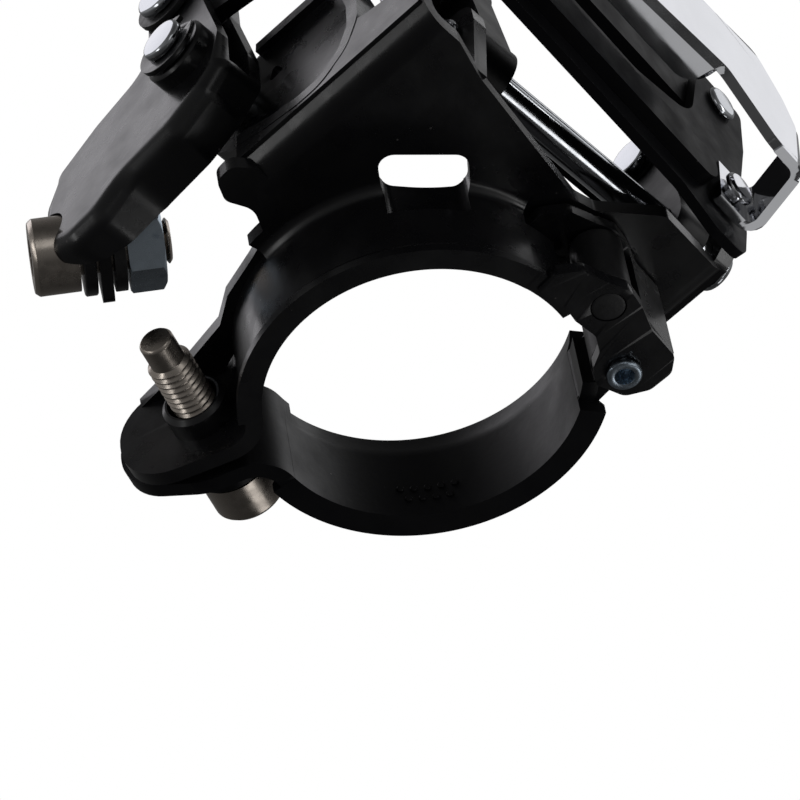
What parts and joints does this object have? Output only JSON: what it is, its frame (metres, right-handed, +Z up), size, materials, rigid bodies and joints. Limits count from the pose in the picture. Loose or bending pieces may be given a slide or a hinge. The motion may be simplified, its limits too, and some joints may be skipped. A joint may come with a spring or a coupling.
{
  "type": "bicycle front derailleur",
  "caption": "Top-swing front derailleur with a hinged band clamp, parallelogram links, a cable arm and a two-plate chain cage.",
  "frame": {"origin": "middle of the bottom of the bounding box", "axes": "+Z up along the seat tube, +X outboard to the drive side, +Y forward"},
  "size_m": [0.0872, 0.0824, 0.0516],
  "materials": {
    "black_paint": "gloss black paint",
    "black_plastic": "black plastic",
    "blue_zinc": "blue zinc plate",
    "bright_zinc": "bright zinc plate",
    "chrome": "bright chrome",
    "nickel": "warm nickel plate",
    "spring_steel": "spring steel"
  },
  "bodies": {
    "bracket": {"clamp_bracket": "black_paint", "band_hinge_clevis": "black_paint", "clevis_stud": "black_plastic", "band_hinge_pin": "blue_zinc", "pivot_support": "black_paint", "support_rivet_a": "black_paint", "support_rivet_b": "black_paint", "main_pivot_rod": "bright_zinc", "inner_pivot_pin": "bright_zinc", "pivot_e_ring": "black_paint"},
    "band": {"clamp_band": "black_paint"},
    "clamp_screw": {"clamp_bolt": "nickel"},
    "outer_link": {"outer_link": "black_paint", "cage_pin_rear": "bright_zinc", "cage_pin_front": "bright_zinc", "spring_bushing": "black_plastic", "return_spring": "spring_steel"},
    "inner_link": {"cable_arm": "black_paint", "link_pin": "bright_zinc", "link_washer": "black_plastic", "cable_clamp_plate": "black_paint", "cable_washer": "black_plastic", "cable_nut": "blue_zinc"},
    "anchor_screw": {"cable_anchor_bolt": "nickel"},
    "limit_low": {"limit_screw_low": "bright_zinc"},
    "limit_high": {"limit_screw_high": "bright_zinc"},
    "cage": {"cage_carrier": "black_paint", "carrier_rivet_rear": "bright_zinc", "carrier_rivet_front": "bright_zinc", "cage_inner_plate": "black_paint", "cage_outer_plate": "chrome", "nose_rivet": "chrome", "tail_spacer": "bright_zinc", "tail_screw": "bright_zinc"}
  },
  "joints": [
    {"name": "outer_link_swing", "type": "hinge", "parent": "bracket", "child": "outer_link", "pos_m": [0.01364, 0.01864, 0.02041], "axis": [0, 0.9848, -0.1736], "range_deg": [0, 38], "stiffness_Nm_per_rad": 0.05},
    {"name": "inner_link_swing", "type": "hinge", "parent": "bracket", "child": "inner_link", "pos_m": [-0.00921, -0.01002, 0.03064], "axis": [0, 0.9848, -0.1736], "range_deg": [0, 38]},
    {"name": "cage_swing", "type": "hinge", "parent": "outer_link", "child": "cage", "pos_m": [0.01074, 0.02138, 0.03597], "axis": [0, 0.9848, -0.1736], "range_deg": [-38, 0]},
    {"name": "band_hinge", "type": "hinge", "parent": "bracket", "child": "band", "pos_m": [0.00514, 0.03103, 0.0079], "axis": [0, 0, -1], "range_deg": [0, 1.5]},
    {"name": "clamp_screw_turn", "type": "hinge", "parent": "band", "child": "clamp_screw", "pos_m": [-0.03282, 0.00752, 0.0079], "axis": [0.3746, -0.9272, 0], "continuous": true},
    {"name": "anchor_screw_turn", "type": "hinge", "parent": "inner_link", "child": "anchor_screw", "pos_m": [-0.03046, -0.01366, 0.02092], "axis": [0.7287, 0.684, 0.0337], "continuous": true},
    {"name": "limit_low_turn", "type": "hinge", "parent": "bracket", "child": "limit_low", "pos_m": [-0.00376, -0.0036, 0.03682], "axis": [0, 0.1736, 0.9848], "continuous": true},
    {"name": "limit_high_turn", "type": "hinge", "parent": "bracket", "child": "limit_high", "pos_m": [0.00164, -0.0036, 0.03682], "axis": [0, 0.1736, 0.9848], "continuous": true}
  ],
  "couplings": [
    {"joint": "inner_link_swing", "follows": "outer_link_swing", "ratio": 1},
    {"joint": "cage_swing", "follows": "outer_link_swing", "ratio": -1}
  ]
}
